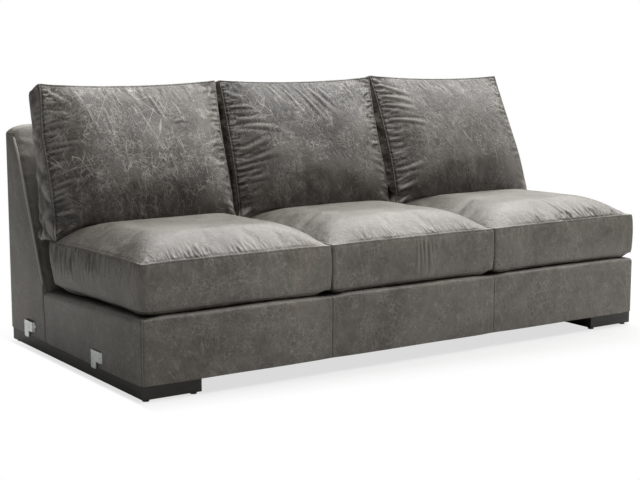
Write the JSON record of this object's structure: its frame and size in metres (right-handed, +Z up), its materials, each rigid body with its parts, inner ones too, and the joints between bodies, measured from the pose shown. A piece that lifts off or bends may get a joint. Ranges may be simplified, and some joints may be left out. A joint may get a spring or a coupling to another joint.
{
  "type": "armless sofa",
  "caption": "Armless sofa section: leather-covered frame on dark wood plinths, boxed seat cushions, loose back cushions and side brackets that hook onto the next section.",
  "frame": {"origin": "on the floor, below the middle of the sofa's box", "axes": "+X along the sofa towards its right end as seen by someone facing its front, +Y from its front to its back, +Z up"},
  "size_m": [2.155, 1.08, 0.9547],
  "materials": {
    "leather": "satin",
    "plinth_wood": "satin",
    "frame_wood": "matte",
    "zinc": "satin",
    "spring_steel": "satin",
    "foam": "matte",
    "deck_cloth": "matte",
    "webbing": "matte",
    "dust_cloth": "matte",
    "zip_tape": "matte",
    "zip_metal": "satin",
    "glide": "matte"
  },
  "bodies": {
    "frame": {"plinth_left": "plinth_wood", "plinth_right": "plinth_wood", "glides": "glide", "support_legs": "glide", "dust_cover": "dust_cloth", "front_rail": "frame_wood", "rear_rail": "frame_wood", "side_rail_left": "frame_wood", "side_rail_right": "frame_wood", "cross_rails": "frame_wood", "spring_rail": "frame_wood", "corner_blocks": "frame_wood", "back_post_left": "frame_wood", "back_post_right": "frame_wood", "middle_back_posts": "frame_wood", "back_top_rail": "frame_wood", "back_lower_rail": "frame_wood", "seat_springs": "spring_steel", "spring_clips": "spring_steel", "back_webbing": "webbing", "seat_deck": "deck_cloth", "base_padding": "foam", "back_padding": "foam", "front_panel_left": "leather", "front_panel_middle": "leather", "front_panel_right": "leather", "seat_side_panel_left": "leather", "seat_side_panel_right": "leather", "back_side_panel_left": "leather", "back_side_panel_right": "leather", "inside_back_cover": "leather", "outside_back_panel": "leather", "hook_brackets": "zinc", "receiver_brackets": "zinc", "bracket_screws": "zinc"},
    "seat_cushion_left": {"seat_cover_left": "leather", "seat_core_left": "foam", "seat_zip_left": "zip_tape"},
    "seat_zip_slider_left": {"seat_zip_slider_left": "zip_metal"},
    "back_cushion_left": {"back_cover_left": "leather", "back_fill_left": "foam", "back_zip_left": "zip_tape"},
    "back_zip_slider_left": {"back_zip_slider_left": "zip_metal"},
    "seat_cushion_middle": {"seat_cover_middle": "leather", "seat_core_middle": "foam", "seat_zip_middle": "zip_tape"},
    "seat_zip_slider_middle": {"seat_zip_slider_middle": "zip_metal"},
    "back_cushion_middle": {"back_cover_middle": "leather", "back_fill_middle": "foam", "back_zip_middle": "zip_tape"},
    "back_zip_slider_middle": {"back_zip_slider_middle": "zip_metal"},
    "seat_cushion_right": {"seat_cover_right": "leather", "seat_core_right": "foam", "seat_zip_right": "zip_tape"},
    "seat_zip_slider_right": {"seat_zip_slider_right": "zip_metal"},
    "back_cushion_right": {"back_cover_right": "leather", "back_fill_right": "foam", "back_zip_right": "zip_tape"},
    "back_zip_slider_right": {"back_zip_slider_right": "zip_metal"}
  },
  "joints": [
    {"name": "seat_pull_left", "type": "slide", "parent": "frame", "child": "seat_cushion_left", "axis": [0, -0.9991, 0.0419], "range_m": [0, 0.75]},
    {"name": "seat_zip_left_slide", "type": "slide", "parent": "seat_cushion_left", "child": "seat_zip_slider_left", "axis": [1, 0, 0], "range_m": [0, 0.53]},
    {"name": "back_lift_left", "type": "slide", "parent": "frame", "child": "back_cushion_left", "axis": [0, 0, 1], "range_m": [0, 0.4]},
    {"name": "back_zip_left_slide", "type": "slide", "parent": "back_cushion_left", "child": "back_zip_slider_left", "axis": [1, 0, 0], "range_m": [0, 0.53]},
    {"name": "seat_pull_middle", "type": "slide", "parent": "frame", "child": "seat_cushion_middle", "axis": [0, -0.9991, 0.0419], "range_m": [0, 0.75]},
    {"name": "seat_zip_middle_slide", "type": "slide", "parent": "seat_cushion_middle", "child": "seat_zip_slider_middle", "axis": [1, 0, 0], "range_m": [0, 0.53]},
    {"name": "back_lift_middle", "type": "slide", "parent": "frame", "child": "back_cushion_middle", "axis": [0, 0, 1], "range_m": [0, 0.4]},
    {"name": "back_zip_middle_slide", "type": "slide", "parent": "back_cushion_middle", "child": "back_zip_slider_middle", "axis": [1, 0, 0], "range_m": [0, 0.53]},
    {"name": "seat_pull_right", "type": "slide", "parent": "frame", "child": "seat_cushion_right", "axis": [0, -0.9991, 0.0419], "range_m": [0, 0.75]},
    {"name": "seat_zip_right_slide", "type": "slide", "parent": "seat_cushion_right", "child": "seat_zip_slider_right", "axis": [1, 0, 0], "range_m": [0, 0.53]},
    {"name": "back_lift_right", "type": "slide", "parent": "frame", "child": "back_cushion_right", "axis": [0, 0, 1], "range_m": [0, 0.4]},
    {"name": "back_zip_right_slide", "type": "slide", "parent": "back_cushion_right", "child": "back_zip_slider_right", "axis": [1, 0, 0], "range_m": [0, 0.53]}
  ]
}
